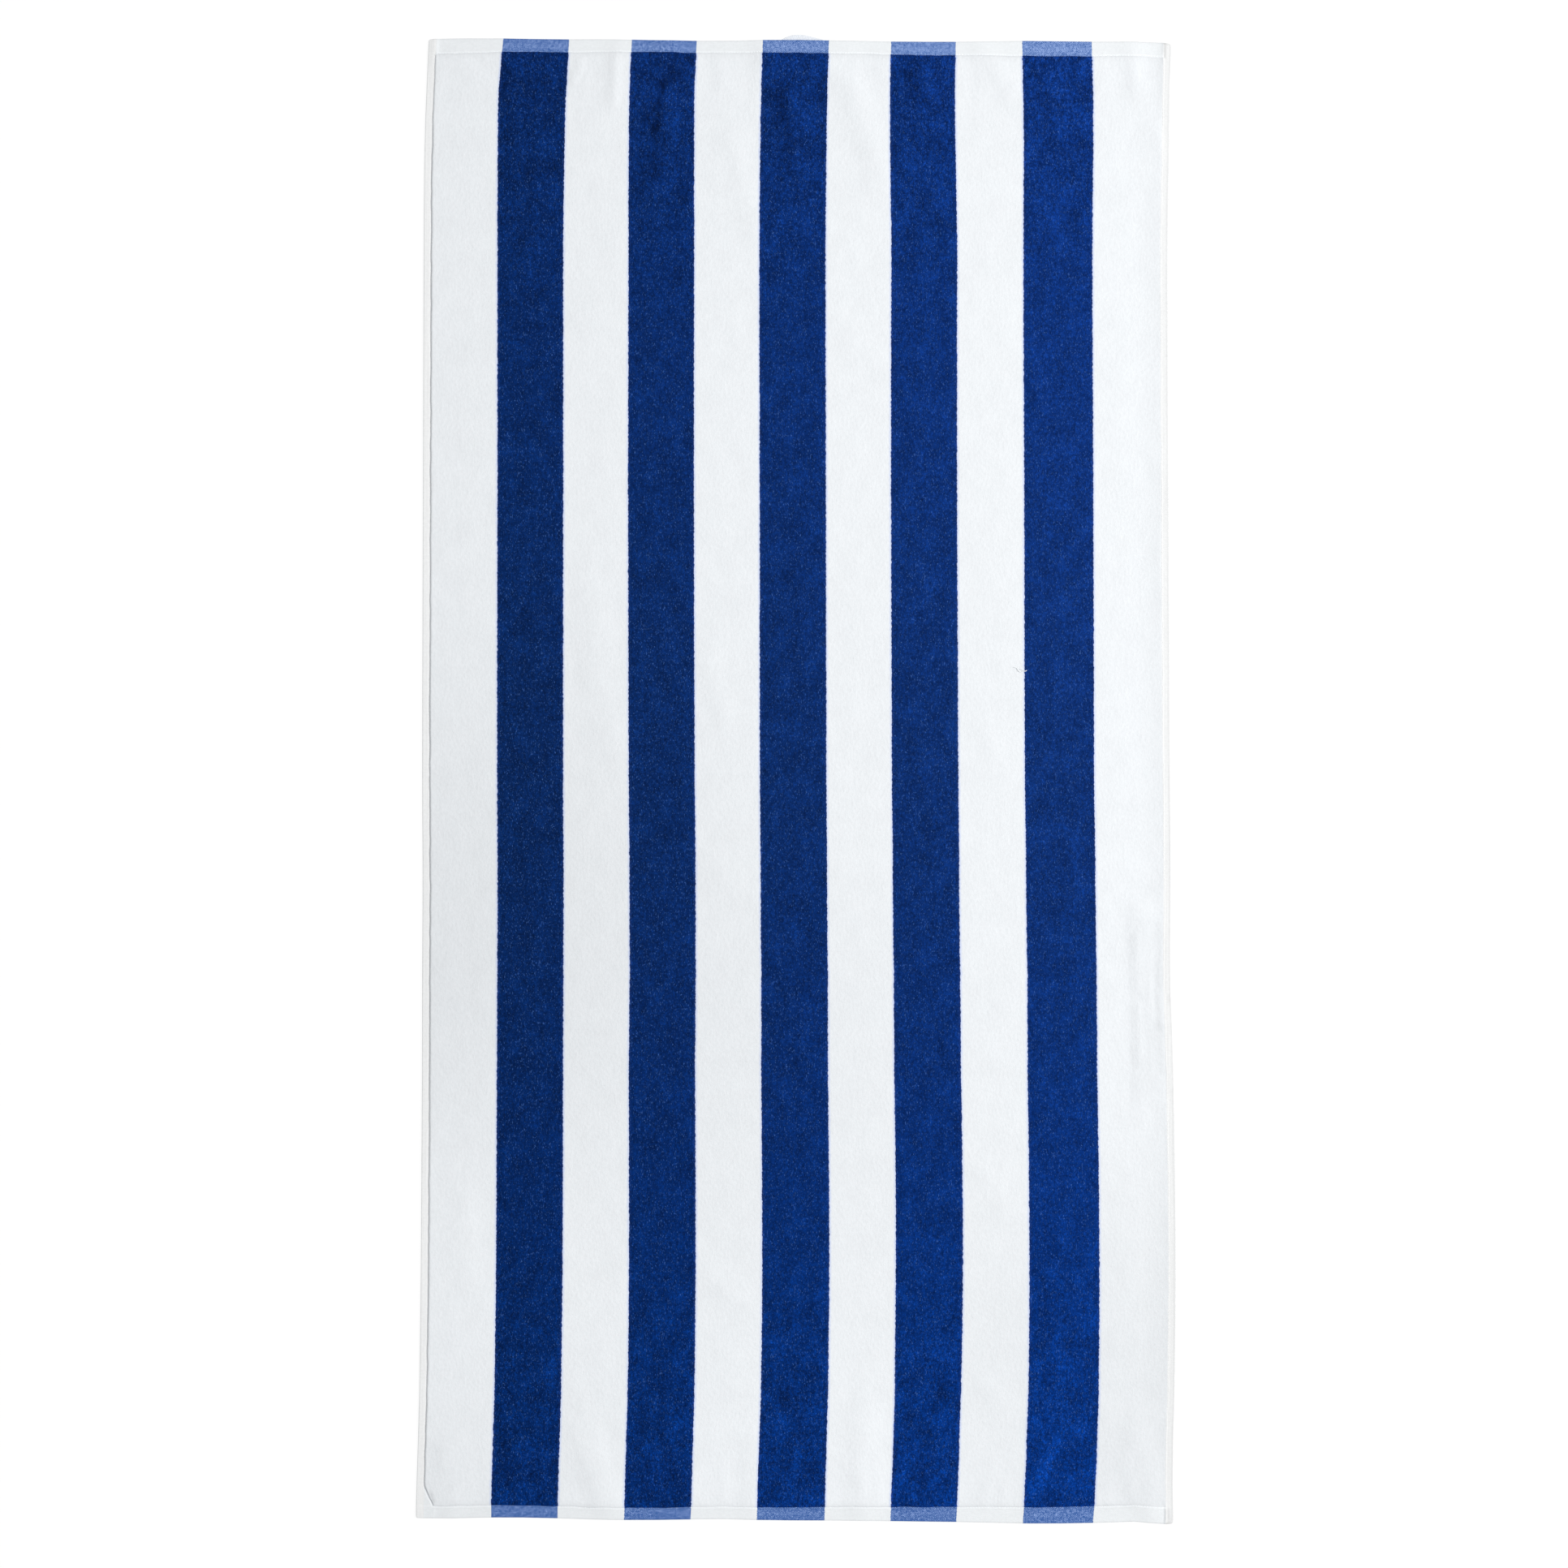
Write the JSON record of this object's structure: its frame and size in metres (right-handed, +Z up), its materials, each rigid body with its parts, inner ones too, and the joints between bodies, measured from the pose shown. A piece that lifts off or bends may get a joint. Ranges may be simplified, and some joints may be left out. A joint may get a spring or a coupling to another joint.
{
  "type": "beach towel",
  "caption": "Striped beach towel laid out flat, face up: one cloth with pile faces and narrow turned hems, with a small tape hanging loop at one end.",
  "frame": {"origin": "on the surface that the towel lies on, under the middle of its outline", "axes": "+Z up out of the pile face, +Y along the towel towards the end with the hanging loop, +X across it"},
  "size_m": [0.7714, 1.5118, 0.0049],
  "materials": {
    "cotton": "sheared cotton pile, white with five royal blue stripes; flat weave hems",
    "tape": "white woven cotton tape"
  },
  "bodies": {
    "root": {"towel_cloth": "cotton", "hanging_loop": "tape"}
  },
  "joints": []
}
